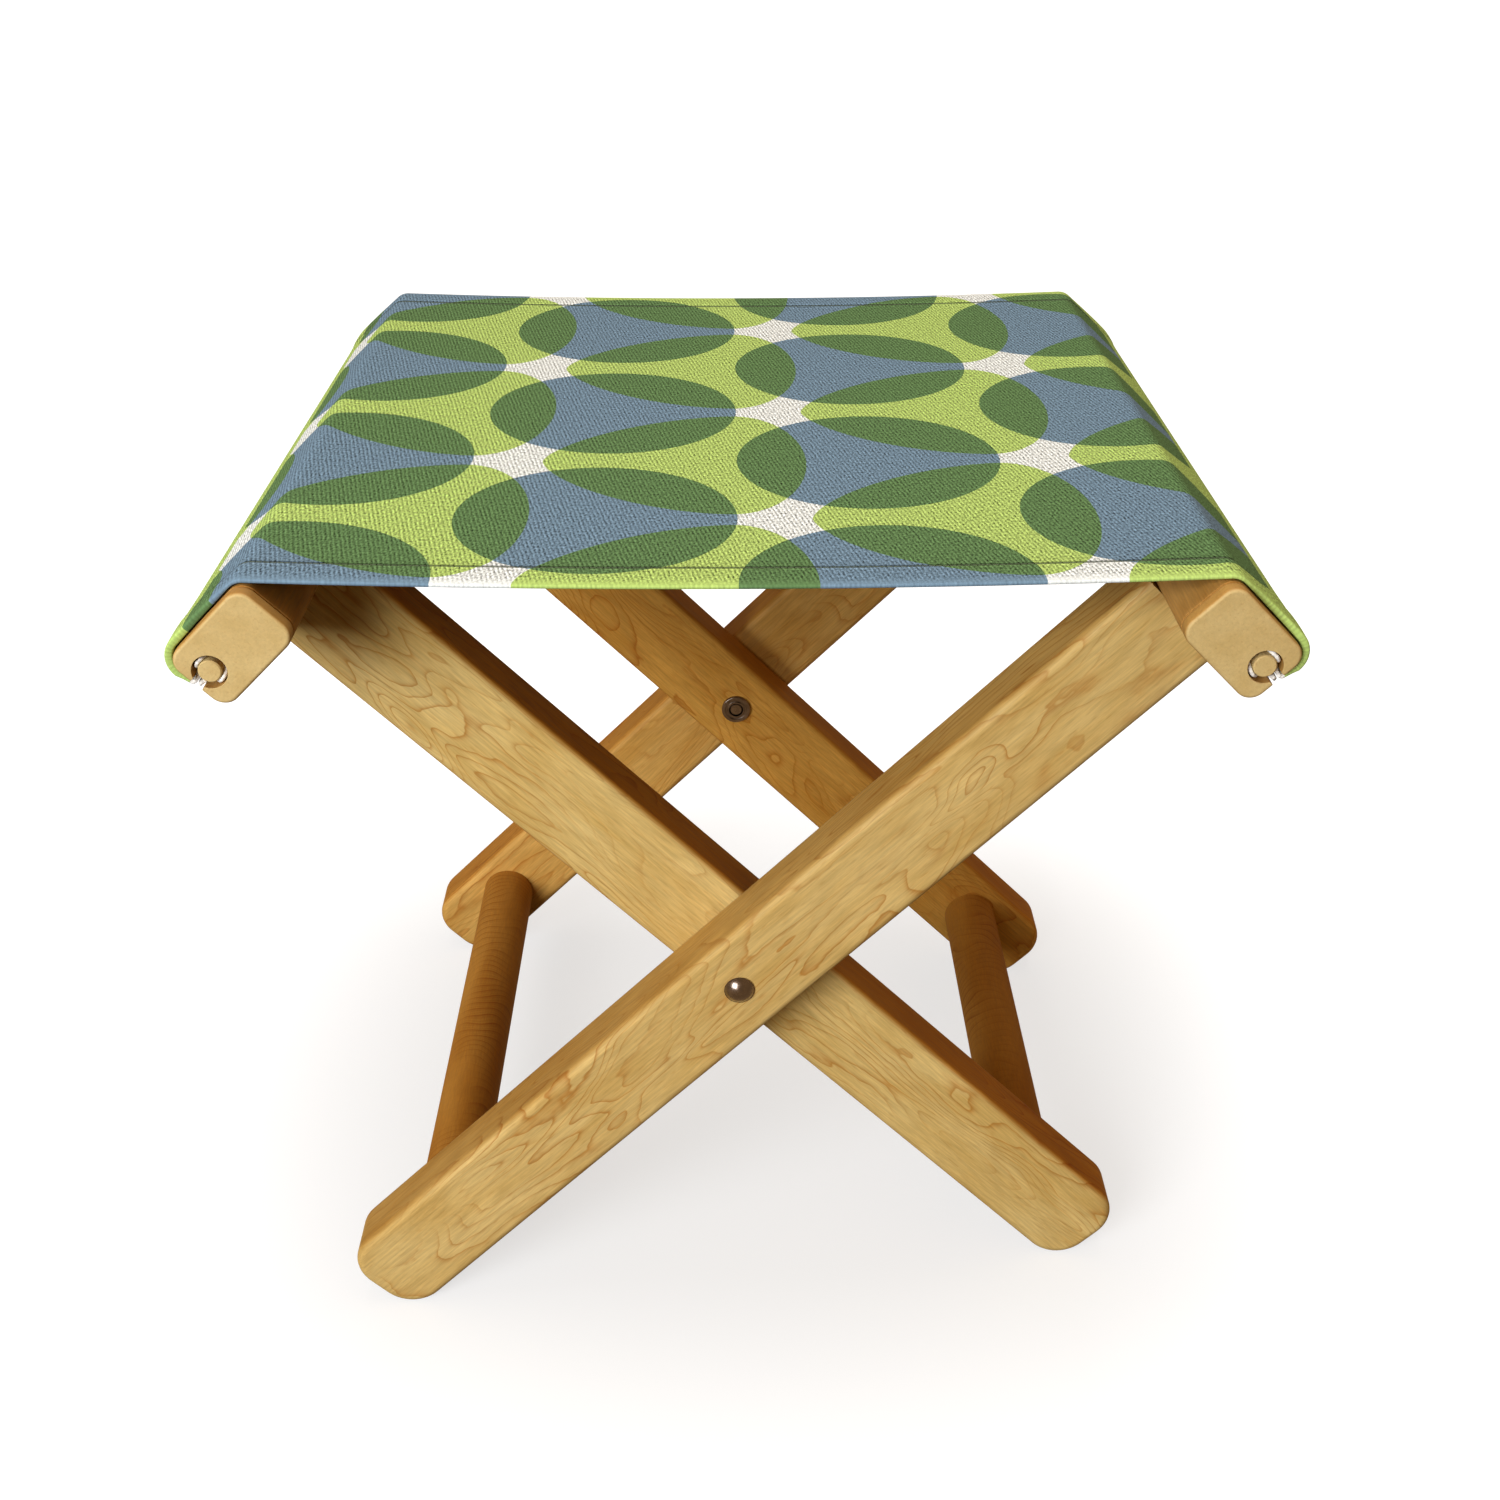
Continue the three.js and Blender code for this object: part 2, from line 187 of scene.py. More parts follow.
pivot = Vector(frame["joints"][0]["pos_m"])
outer_place = Matrix.Translation(pivot) @ Matrix.Rotation(-tilt, 4, "Y")
inner_place = Matrix.Translation(pivot) @ Matrix.Rotation(math.pi, 4, "Z") @ Matrix.Rotation(-tilt, 4, "Y")
places = {"outer": outer_place, "inner": inner_place}
stretcher_low, stretcher_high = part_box("outer_stretcher")
stretcher_reach = (pivot.z - (stretcher_low.z + stretcher_high.z) / 2) / math.sin(tilt)
bodies = {"outer": "outer_frame", "inner": "inner_frame"}


def add_node(tree, kind, inputs=None, **settings):
    """A shader node with its settings and its inputs, each a number or another node's output."""
    node = tree.nodes.new(kind)
    for key, value in settings.items():
        setattr(node, key, value)
    for key, value in (inputs or {}).items():
        if isinstance(value, bpy.types.NodeSocket):
            tree.links.new(value, node.inputs[key])
        else:
            node.inputs[key].default_value = value
    return node


def calc(tree, operation, first, second=0.0, third=0.0):
    """One step of arithmetic on the surface."""
    return add_node(tree, "ShaderNodeMath", {0: first, 1: second, 2: third}, operation=operation).outputs[0]


def times(tree, first, second):
    """Two colours or vectors multiplied."""
    return add_node(tree, "ShaderNodeVectorMath", {0: first, 1: second}, operation="MULTIPLY").outputs[0]


def tone(tree, amount, first, second, blend="MIX"):
    """Two colours mixed by an amount."""
    pair = {0: amount, 6: first, 7: second}
    return add_node(tree, "ShaderNodeMix", pair, data_type="RGBA", blend_type=blend).outputs[2]


def spread(tree, value, low, high, to_low=0.0, to_high=1.0):
    """A value's range from low to high stretched to another range, and held at its ends."""
    return add_node(
        tree, "ShaderNodeMapRange", {0: value, 1: low, 2: high, 3: to_low, 4: to_high}
    ).outputs[0]


def stretched_noise(tree, vector, scales, detail=2.0, roughness=0.5, distortion=0.0):
    """Cloudy noise with so many waves a metre along, across and through the grain."""
    scaled = times(tree, vector, scales)
    inputs = {"Vector": scaled, "Scale": 1.0, "Detail": detail}
    inputs.update({"Roughness": roughness, "Distortion": distortion})
    return add_node(tree, "ShaderNodeTexNoise", inputs).outputs[0]


def new_material(name):
    material = bpy.data.materials.new(name)
    material.use_nodes = True
    tree = material.node_tree
    tree.nodes.clear()
    output = tree.nodes.new("ShaderNodeOutputMaterial")
    shader = tree.nodes.new("ShaderNodeBsdfPrincipled")
    tree.links.new(shader.outputs[0], output.inputs[0])
    return material, tree, shader


def relief(tree, shader, height, strength, distance=0.0002):
    """Fine relief on the surface, from a height."""
    bump = add_node(tree, "ShaderNodeBump", {"Height": height, "Strength": strength, "Distance": distance})
    tree.links.new(bump.outputs[0], shader.inputs["Normal"])


def grain_coordinates(tree, place, offset):
    """The piece's own coordinates, with x along the grain, moved by an offset so that no two match."""
    back = place.inverted()
    return add_node(
        tree,
        "ShaderNodeMapping",
        {
            "Vector": tree.nodes.new("ShaderNodeTexCoord").outputs["Object"],
            "Location": back.translation + Vector(offset),
            "Rotation": back.to_euler("XYZ"),
        },
    ).outputs[0]


def figured_wood(
    name, place, offset, light, deep, line, tint_and_shade=(1, 1, 1), sides=None, line_strength=0.75
):
    """Board with thin growth lines that wander along it and close on themselves, soft cloudy figure, pale
    patches and fine fibres, under satin oil. Its narrow sides may be darkened with painted shade, and its
    tint may carry painted shade as well."""
    material, tree, shader = new_material(name)
    grain = grain_coordinates(tree, place, offset)
    apart = add_node(tree, "ShaderNodeSeparateXYZ", {0: grain}).outputs
    swirl = stretched_noise(tree, grain, (6.5, 27.0, 27.0), 1.0, 0.5, 0.9)
    ripple = stretched_noise(tree, grain, (55.0, 120.0, 120.0), 2.0, 0.5)
    growth = calc(tree, "MULTIPLY_ADD", ripple, 0.9, calc(tree, "MULTIPLY", apart[2], 25.0))
    growth = calc(tree, "MULTIPLY_ADD", swirl, 18.0, growth)
    ring = calc(tree, "FRACT", growth)
    late = calc(tree, "POWER", spread(tree, ring, 0.40, 1.0), 4.0)
    early = spread(tree, ring, 0.0, 0.05, 1.0, 0.0)
    fade = spread(tree, stretched_noise(tree, grain, (7.0, 25.0, 25.0), 1.0), 0.36, 0.60, 0.10, 1.0)
    lines = calc(tree, "MULTIPLY", calc(tree, "MAXIMUM", late, early), fade)
    cloud = spread(tree, stretched_noise(tree, grain, (16.0, 60.0, 60.0), 2.5, 0.55, 0.3), 0.36, 0.66)
    pale = spread(tree, stretched_noise(tree, grain, (24.0, 75.0, 75.0), 1.5), 0.58, 0.70)
    fibre = stretched_noise(tree, grain, (70.0, 1100.0, 1100.0), 2.0, 0.65)
    fleck = spread(tree, stretched_noise(tree, grain, (120.0, 800.0, 800.0), 1.0), 0.60, 0.74)
    board = tone(tree, cloud, (*deep, 1), (*light, 1))
    board = tone(tree, calc(tree, "MULTIPLY", pale, 0.35), board, (*(c * 1.22 for c in light), 1))
    board = tone(tree, calc(tree, "MULTIPLY", lines, line_strength), board, (*line, 1))
    board = tone(tree, calc(tree, "MULTIPLY", fleck, 0.22), board, (*line, 1))
    shade = spread(tree, fibre, 0.3, 0.7, 0.84, 1.12)
    board = times(tree, board, shade)
    # Painted shade: the narrow sides are darkened toward their edges by the given colour, multiplied in.
    if sides:
        from_middle = calc(tree, "ABSOLUTE", calc(tree, "SUBTRACT", apart[2], offset[2]))
        side = spread(tree, from_middle, leg_width / 2 - 0.45 * leg_edge, leg_width / 2 - 0.05 * leg_edge)
        board = tone(tree, side, board, (*sides, 1), "MULTIPLY")
    # The tint is partly the board's own tone and partly painted shade.
    board = times(tree, board, tint_and_shade)
    tree.links.new(board, shader.inputs["Base Color"])
    tree.links.new(spread(tree, fibre, 0.3, 0.7, 0.46, 0.60), shader.inputs["Roughness"])
    shader.inputs["Specular IOR Level"].default_value = 0.15
    height = calc(tree, "MULTIPLY_ADD", lines, -0.5, calc(tree, "MULTIPLY", fibre, 0.6))
    relief(tree, shader, height, 0.3)
    return material


def mesh_of(bm, name):
    mesh = bpy.data.meshes.new(name)
    bm.to_mesh(mesh)
    bm.free()
    return mesh


def object_of(mesh, name):
    piece = bpy.data.objects.new(name, mesh)
    scene.collection.objects.link(piece)
    return piece


def apply_modifiers(piece):
    """Makes the piece's modifiers part of its mesh."""
    bpy.context.view_layer.update()
    evaluated = piece.evaluated_get(bpy.context.evaluated_depsgraph_get())
    worked = bpy.data.meshes.new_from_object(evaluated)
    piece.modifiers.clear()
    rough = piece.data
    piece.data = worked
    bpy.data.meshes.remove(rough)
    worked.name = piece.name


def drill(piece, cutters):
    """Holes and slots cut into a piece by a bmesh of closed cutters."""
    bit = object_of(mesh_of(cutters, "bit"), "bit")
    cut = piece.modifiers.new("holes", "BOOLEAN")
    cut.operation = "DIFFERENCE"
    cut.solver = "EXACT"
    cut.object = bit
    apply_modifiers(piece)
    bit_mesh = bit.data
    bpy.data.objects.remove(bit)
    bpy.data.meshes.remove(bit_mesh)


def add_bit(cutters, radius, start, end, segments=48):
    """A round cutter from one point to another."""
    start, end = Vector(start), Vector(end)
    run = end - start
    bmesh.ops.create_cone(
        cutters,
        cap_ends=True,
        cap_tris=False,
        segments=segments,
        radius1=radius,
        radius2=radius,
        depth=run.length,
        matrix=Matrix.Translation((start + end) / 2) @ run.to_track_quat("Z", "Y").to_matrix().to_4x4(),
    )


def finish_piece(piece, place, material, body, nodes, sharp=35):
    """Puts a finished piece in its place, with its material and its body, and hides the parts it replaces.
    """
    piece.data.transform(place)
    if place.determinant() < 0:
        piece.data.flip_normals()
    piece.data.materials.clear()
    piece.data.materials.append(material)
    for polygon in piece.data.polygons:
        polygon.use_smooth = True
    piece.data.set_sharp_from_angle(angle=math.radians(sharp))
    smoothing = piece.modifiers.new("flats", "WEIGHTED_NORMAL")
    smoothing.keep_sharp = True
    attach(piece, body)
    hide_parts(*nodes)


def bevel_edges(bm, edges, offset, segments):
    bmesh.ops.bevel(
        bm, geom=edges, offset=offset, segments=segments, profile=0.5, affect="EDGES", material=-1
    )


def leg_blank():
    """A leg along x, centred on y = 0, with its foot and its edges rounded and its rail end square."""
    bm = bmesh.new()
    bmesh.ops.create_cube(bm, size=1)
    length = foot_reach + rail_reach - fit
    bmesh.ops.scale(bm, vec=(length, leg_thickness, leg_width), verts=bm.verts)
    bmesh.ops.translate(bm, vec=((rail_reach - fit - foot_reach) / 2, 0, 0), verts=bm.verts)
    foot = [
        e
        for e in bm.edges
        if all(v.co.x < 0 for v in e.verts) and e.verts[0].co.y * e.verts[1].co.y < 0
    ]
    bevel_edges(bm, foot, foot_radius, 14)
    square_end = rail_reach - 2 * fit
    outline = [
        e
        for e in bm.edges
        if e.verts[0].co.y * e.verts[1].co.y > 0 and not all(v.co.x > square_end for v in e.verts)
    ]
    bevel_edges(bm, outline, leg_edge, 6)
    return mesh_of(bm, "leg")


# Each leg is from another board, where its grain is taken. Its tint is partly its own tone and partly
# painted shade, darker on the back legs that stand in shade under the seat, and its narrow sides get
# painted shade, deepest on the inner front leg, whose upper side faces away from the lamp.
leg_boards_and_painted_shade = {
    "outer_leg_front": ((0.37, 0.11, 0.052), (0.96, 1.01, 1.05), (0.74, 0.62, 0.45)),
    "outer_leg_back": ((1.91, 0.43, 0.30), (0.94, 0.80, 0.58), (0.82, 0.68, 0.48)),
    "inner_leg_front": ((3.13, 0.77, 0.61), (1, 1.08, 1.14), (0.80, 0.46, 0.13)),
    "inner_leg_back": ((4.49, 0.93, 0.84), (0.94, 0.72, 0.38), (0.82, 0.66, 0.40)),
}
for leg_name, (offset, tint_and_shade, sides) in leg_boards_and_painted_shade.items():
    side = leg_name.split("_leg_")[0]
    low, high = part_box(leg_name)
    leg_y = (low.y + high.y) / 2
    inward = -math.copysign(1, leg_y)
    local_y = leg_y if side == "outer" else -leg_y
    local_in = inward if side == "outer" else -inward
    leg = object_of(leg_blank(), leg_name.replace("_leg_", "_leg_wood_"))
    face = local_in * leg_thickness / 2
    bits = bmesh.new()
    add_bit(bits, bolt_hole, (0, -leg_thickness, 0), (0, leg_thickness, 0))
    socket_bottom = face - local_in * socket_depth
    add_bit(bits, socket_radius, (-stretcher_reach, socket_bottom, 0), (-stretcher_reach, 2 * face, 0))
    pin_bottom = rail_reach - pin_depth_in_leg - fit
    pin_mouth = rail_reach + drill_overrun
    for across in pin_across:
        add_bit(bits, pin_radius + fit, (pin_bottom, 0, across), (pin_mouth, 0, across), 24)
    drill(leg, bits)
    if side == "inner":
        bits = bmesh.new()
        add_bit(bits, sleeve_hole, (0, face - local_in * sleeve_depth, 0), (0, 2 * face, 0))
        drill(leg, bits)
    wood = figured_wood(
        f"{leg_name}_wood", places[side], offset, leg_light, leg_deep, leg_line, tint_and_shade, sides
    )
    spot = places[side] @ Matrix.Translation((0, local_y, 0))
    finish_piece(leg, spot, wood, bodies[side], [leg_name])

# ---- Stretchers ----
# Two round bars of wood, coloured darker than the legs as painted shade, for they stand in shade under the
# seat. They are glued into the legs near the feet by a thinner tenon at each end. Their figure runs across
# them in close wavy bands.
stretcher_radius = 0.0155
tenon_radius = 0.010
tenon_length = 0.016
tenon_ease = 0.001
# These colours carry painted shade: the bars stand in shade under the seat.
shaded_bar_light = (0.480, 0.235, 0.042)
shaded_bar_deep = (0.390, 0.165, 0.022)
shaded_bar_line = (0.240, 0.070, 0.006)


def turned(name, profile, segments=64):
    """A shape turned on a lathe about y, from points given as (radius, height)."""
    bm = bmesh.new()
    verts = [bm.verts.new((radius, height, 0)) for radius, height in profile]
    edges = [bm.edges.new(pair) for pair in zip(verts, verts[1:])]
    bmesh.ops.spin(
        bm,
        geom=verts + edges,
        cent=(0, 0, 0),
        axis=(0, 1, 0),
        angle=math.tau,
        steps=segments,
        use_merge=True,
    )
    bmesh.ops.remove_doubles(bm, verts=bm.verts, dist=1e-6)
    bmesh.ops.dissolve_degenerate(bm, edges=bm.edges, dist=1e-7)
    bmesh.ops.recalc_face_normals(bm, faces=bm.faces)
    return object_of(mesh_of(bm, name), name)


def banded_wood(name, place, offset):
    """Turned bar whose figure crosses it in close wavy bands."""
    material, tree, shader = new_material(name)
    grain = grain_coordinates(tree, place, offset)
    apart = add_node(tree, "ShaderNodeSeparateXYZ", {0: grain}).outputs
    sway = stretched_noise(tree, grain, (26.0, 26.0, 26.0), 1.0)
    band = calc(tree, "MULTIPLY_ADD", sway, 6.0, calc(tree, "MULTIPLY", apart[1], 160.0))
    ring = calc(tree, "FRACT", band)
    close = calc(tree, "FRACT", calc(tree, "MULTIPLY", band, 3.0))
    lines = calc(tree, "MULTIPLY_ADD", spread(tree, close, 0.4, 1.0), 0.5, spread(tree, ring, 0.6, 1.0))
    fade = spread(tree, stretched_noise(tree, grain, (30.0, 9.0, 30.0), 1.0), 0.4, 0.6, 0.1, 1.0)
    lines = calc(tree, "MULTIPLY", lines, fade)
    cloud = spread(tree, stretched_noise(tree, grain, (40.0, 9.0, 40.0), 2.0), 0.36, 0.64)
    fibre = stretched_noise(tree, grain, (1300.0, 120.0, 1300.0), 2.0, 0.6)
    bar = tone(tree, cloud, (*shaded_bar_deep, 1), (*shaded_bar_light, 1))
    bar = tone(tree, calc(tree, "MULTIPLY", lines, 0.55), bar, (*shaded_bar_line, 1))
    fibre_shade = spread(tree, fibre, 0.3, 0.7, 0.88, 1.08)
    bar = times(tree, bar, fibre_shade)
    tree.links.new(bar, shader.inputs["Base Color"])
    tree.links.new(spread(tree, fibre, 0.3, 0.7, 0.50, 0.64), shader.inputs["Roughness"])
    shader.inputs["Specular IOR Level"].default_value = 0.12
    relief(tree, shader, fibre, 0.3)
    return material


for side, offset in (("outer", (0.21, 0.35, 0.13)), ("inner", (0.83, 1.27, 0.47))):
    low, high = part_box(f"{side}_stretcher")
    end = (high.y - low.y) / 2
    shoulder = end - tenon_length - fit
    bar = turned(
        f"{side}_stretcher_wood",
        [
            (0, -end),
            (tenon_radius - tenon_ease, -end),
            (tenon_radius, -end + tenon_ease),
            (tenon_radius, -shoulder),
            (stretcher_radius, -shoulder),
            (stretcher_radius, 0),
            (stretcher_radius, shoulder),
            (tenon_radius, shoulder),
            (tenon_radius, end - tenon_ease),
            (tenon_radius - tenon_ease, end),
            (0, end),
        ],
    )
    wood = banded_wood(f"{side}_stretcher_wood", places[side], offset)
    spot = places[side] @ Matrix.Translation((-stretcher_reach, 0, 0))
    finish_piece(bar, spot, wood, bodies[side], [f"{side}_stretcher"])

# ---- Rails ----
# A thick rail with rounded corners across the top of each pair of legs, coloured darker than the legs as
# painted shade, for it lies in shade under the cloth. A keyhole slot is milled along its lower end for the
# sling's rod, and two dowels hold it on each leg.
rail_thickness = 0.030
rail_height = 0.045
rail_corner = 0.007
keyhole_radius = 0.0071
keyhole_across = -0.0137
slot_width = 0.0056
pin_depth_in_rail = 0.017
rail_ease = 0.0004
cutter_overrun = 0.01
# These colours carry painted shade: the rails lie in shade under the cloth.
shaded_rail_light = (0.520, 0.290, 0.085)
shaded_rail_deep = (0.400, 0.200, 0.045)
rail_middle = rail_reach + rail_thickness / 2
rail_side = {"right": "outer", "left": "inner"}


def rail_blank(name, start, end, outline_ease=0):
    """A length of rail from one y to another, with its ends' outlines eased if asked, and the keyhole
    milled through it."""
    bm = bmesh.new()
    bmesh.ops.create_cube(bm, size=1)
    bmesh.ops.scale(bm, vec=(rail_thickness, end - start, rail_height), verts=bm.verts)
    bmesh.ops.translate(bm, vec=(rail_middle, (start + end) / 2, 0), verts=bm.verts)
    long_edge = 0.5 * (end - start)
    corners = [e for e in bm.edges if abs(e.verts[0].co.y - e.verts[1].co.y) > long_edge]
    bevel_edges(bm, corners, rail_corner, 10)
    if outline_ease:
        outline = [e for e in bm.edges if abs(e.verts[0].co.y - e.verts[1].co.y) < long_edge]
        bevel_edges(bm, outline, outline_ease, 5)
    piece = object_of(mesh_of(bm, name), name)
    bits = bmesh.new()
    add_bit(
        bits,
        keyhole_radius,
        (rail_middle, start - cutter_overrun, keyhole_across),
        (rail_middle, end + cutter_overrun, keyhole_across),
        64,
    )
    drill(piece, bits)
    bits = bmesh.new()
    bmesh.ops.create_cube(bits, size=1)
    slot_height = keyhole_across + rail_height
    slot_run = end - start + 2 * cutter_overrun
    bmesh.ops.scale(bits, vec=(slot_width, slot_run, slot_height), verts=bits.verts)
    bmesh.ops.translate(
        bits, vec=(rail_middle, (start + end) / 2, keyhole_across - slot_height / 2), verts=bits.verts
    )
    drill(piece, bits)
    return piece


def ease_edges(piece, width, segments=2):
    """Takes the sharpness off a piece's arrises."""
    ease = piece.modifiers.new("ease", "BEVEL")
    ease.limit_method = "ANGLE"
    ease.angle_limit = math.radians(50)
    ease.width = width
    ease.segments = segments
    ease.use_clamp_overlap = True
    apply_modifiers(piece)


for rail_name, side in rail_side.items():
    low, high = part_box(f"{rail_name}_rail")
    rail = rail_blank(f"{rail_name}_rail_wood", low.y, high.y)
    ease_edges(rail, rail_ease)
    bits = bmesh.new()
    for leg_name in (f"{side}_leg_front", f"{side}_leg_back"):
        leg_low, leg_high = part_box(leg_name)
        where = (leg_low.y + leg_high.y) / 2
        pin_mouth = rail_reach - drill_overrun
        pin_bottom = rail_reach + pin_depth_in_rail + fit
        for across in pin_across:
            add_bit(bits, pin_radius + fit, (pin_mouth, where, across), (pin_bottom, where, across), 24)
    drill(rail, bits)
    offset = (0.9, 0.3, 0.2) if side == "outer" else (2.3, 1.1, 0.7)
    along_rail = places[side] @ Matrix.Rotation(math.pi / 2, 4, "Z")
    wood = figured_wood(
        f"{rail_name}_rail_wood", along_rail, offset, shaded_rail_light, shaded_rail_deep, leg_line, line_strength=0.4
    )
    finish_piece(rail, places[side], wood, bodies[side], [f"{rail_name}_rail"])

# ---- Rail pins ----
# Eight short wooden dowels with chamfered ends. Each pair is glued into the end grain of one leg and into
# the rail that lies across it.
pin_chamfer = 0.0008


def rod_profile(radius, half, ease):
    """The outline of a rod with chamfered ends, half of it on each side of its middle."""
    return [
        (0, -half),
        (radius - ease, -half),
        (radius, -half + ease),
        (radius, half - ease),
        (radius - ease, half),
        (0, half),
    ]


for rail_name, side in rail_side.items():
    for end in ("front", "back"):
        for level, across in zip(("lower", "upper"), pin_across):
            node = f"{rail_name}_rail_pin_{end}_{level}"
            low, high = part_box(node)
            half = (pin_depth_in_leg + pin_depth_in_rail) / 2
            profile = rod_profile(pin_radius, half, pin_chamfer)
            pin = turned(f"{rail_name}_rail_dowel_{end}_{level}", profile, 32)
            where = (low.y + high.y) / 2 * (1 if side == "outer" else -1)
            middle = rail_reach + (pin_depth_in_rail - pin_depth_in_leg) / 2
            spot = places[side] @ Matrix.Translation((middle, where, across)) @ Matrix.Rotation(
                -math.pi / 2, 4, "Z"
            )
            wood = figured_wood(
                f"{node}_wood", places[side], (where * 9, across * 50, 0.4), shaded_rail_light, shaded_rail_deep, leg_line
            )
            finish_piece(pin, spot, wood, bodies[side], [node])

# ---- Rail caps ----
# A thin slice of fine even board glued over each end of a rail, cut to the rail's own outline with the
# keyhole open, so that the rod can be slid out.
cap_ease = 0.0003
cap_outline_ease = 0.0016
cap_light = (0.645, 0.495, 0.222)
cap_deep = (0.575, 0.420, 0.170)
cap_speck = (0.400, 0.200, 0.055)
# The caps' sides behind their faces are darkened by this colour as painted shade.
cap_side_shade = (0.68, 0.50, 0.30)


def speckled_board(name, place, offset, face=None):
    """Fine dense board, even in colour, with tiny specks, and painted shade on its sides behind its face if
    it has one.
    """
    material, tree, shader = new_material(name)
    grain = grain_coordinates(tree, place, offset)
    cloud = spread(tree, stretched_noise(tree, grain, (90.0, 90.0, 90.0), 3.0), 0.30, 0.70)
    fine = stretched_noise(tree, grain, (900.0, 900.0, 900.0), 2.0, 0.7)
    speck = spread(tree, stretched_noise(tree, grain, (800.0, 800.0, 800.0), 1.0, 0.6), 0.58, 0.72)
    board = tone(tree, cloud, (*cap_deep, 1), (*cap_light, 1))
    board = tone(tree, calc(tree, "MULTIPLY", speck, 0.25), board, (*cap_speck, 1))
    fine_shade = spread(tree, fine, 0.3, 0.7, 0.92, 1.06)
    board = times(tree, board, fine_shade)
    # Painted shade on the sides behind the face.
    if face is not None:
        along = add_node(tree, "ShaderNodeSeparateXYZ", {0: grain}).outputs[1]
        behind = calc(tree, "ABSOLUTE", calc(tree, "SUBTRACT", along, offset[1] + face))
        side = spread(tree, behind, 0.1 * cap_outline_ease, 0.6 * cap_outline_ease)
        board = tone(tree, side, board, (*cap_side_shade, 1), "MULTIPLY")
    tree.links.new(board, shader.inputs["Base Color"])
    tree.links.new(spread(tree, fine, 0.3, 0.7, 0.5, 0.62), shader.inputs["Roughness"])
    shader.inputs["Specular IOR Level"].default_value = 0.3
    relief(tree, shader, fine, 0.25)
    return material


for rail_name, side in rail_side.items():
    for end in ("front", "back"):
        node = f"{rail_name}_rail_cap_{end}"
        low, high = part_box(node)
        turn = 1 if side == "outer" else -1
        start, stop = sorted((turn * low.y, turn * high.y))
        cap = rail_blank(f"{rail_name}_rail_end_{end}", start, stop, cap_outline_ease)
        ease_edges(cap, cap_ease)
        face = max(start, stop, key=abs)
        board = speckled_board(f"{node}_board", places[side], (start * 7, 0.3, turn * 0.9), face)
        finish_piece(cap, places[side], board, bodies[side], [node])

# ---- Pivot bolts, washers and nuts ----
# Each crossing turns on a bolt with a low domed head and a sleeve nut with a ringed flange, both in dark
# bronze, and a steel washer keeps the two legs apart.
bolt_radius = 0.004
head_radius = 0.007
head_height = 0.004
head_ease = 0.0004
bolt_end_ease = 0.0008
nut_flange = 0.0085
nut_thickness = 0.0022
nut_rim = 0.0022
nut_sleeve = 0.0057
nut_hub = 0.0052
nut_length = 0.012
nut_ease = 0.0003
washer_radius = 0.011
washer_thickness = 0.001
washer_ease = 0.00015
dome_steps = 16
bronze_dark = (0.110, 0.074, 0.052)
bronze_worn = (0.175, 0.125, 0.092)
steel_dark = (0.22, 0.20, 0.18)
steel_worn = (0.48, 0.45, 0.42)


def brushed_metal(name, place, dark, worn, low_gloss, high_gloss):
    """Metal with a thin patina that is worn lighter in patches, and faint turning marks."""
    material, tree, shader = new_material(name)
    grain = grain_coordinates(tree, place, (0, 0, 0))
    patch = spread(tree, stretched_noise(tree, grain, (260.0, 260.0, 260.0), 3.0, 0.6), 0.42, 0.68)
    apart = add_node(tree, "ShaderNodeSeparateXYZ", {0: grain}).outputs
    square = calc(tree, "MULTIPLY_ADD", apart[0], apart[0], calc(tree, "MULTIPLY", apart[2], apart[2]))
    radius = calc(tree, "SQRT", square)
    marks = calc(tree, "SINE", calc(tree, "MULTIPLY", radius, 26000.0))
    tree.links.new(tone(tree, patch, (*dark, 1), (*worn, 1)), shader.inputs["Base Color"])
    shader.inputs["Metallic"].default_value = 1.0
    shader.inputs["Coat Weight"].default_value = 1.0
    shader.inputs["Coat Roughness"].default_value = 0.2
    shader.inputs["Coat IOR"].default_value = 1.9
    tree.links.new(spread(tree, patch, 0, 1, low_gloss, high_gloss), shader.inputs["Roughness"])
    relief(tree, shader, marks, 0.08, 0.00005)
    return material


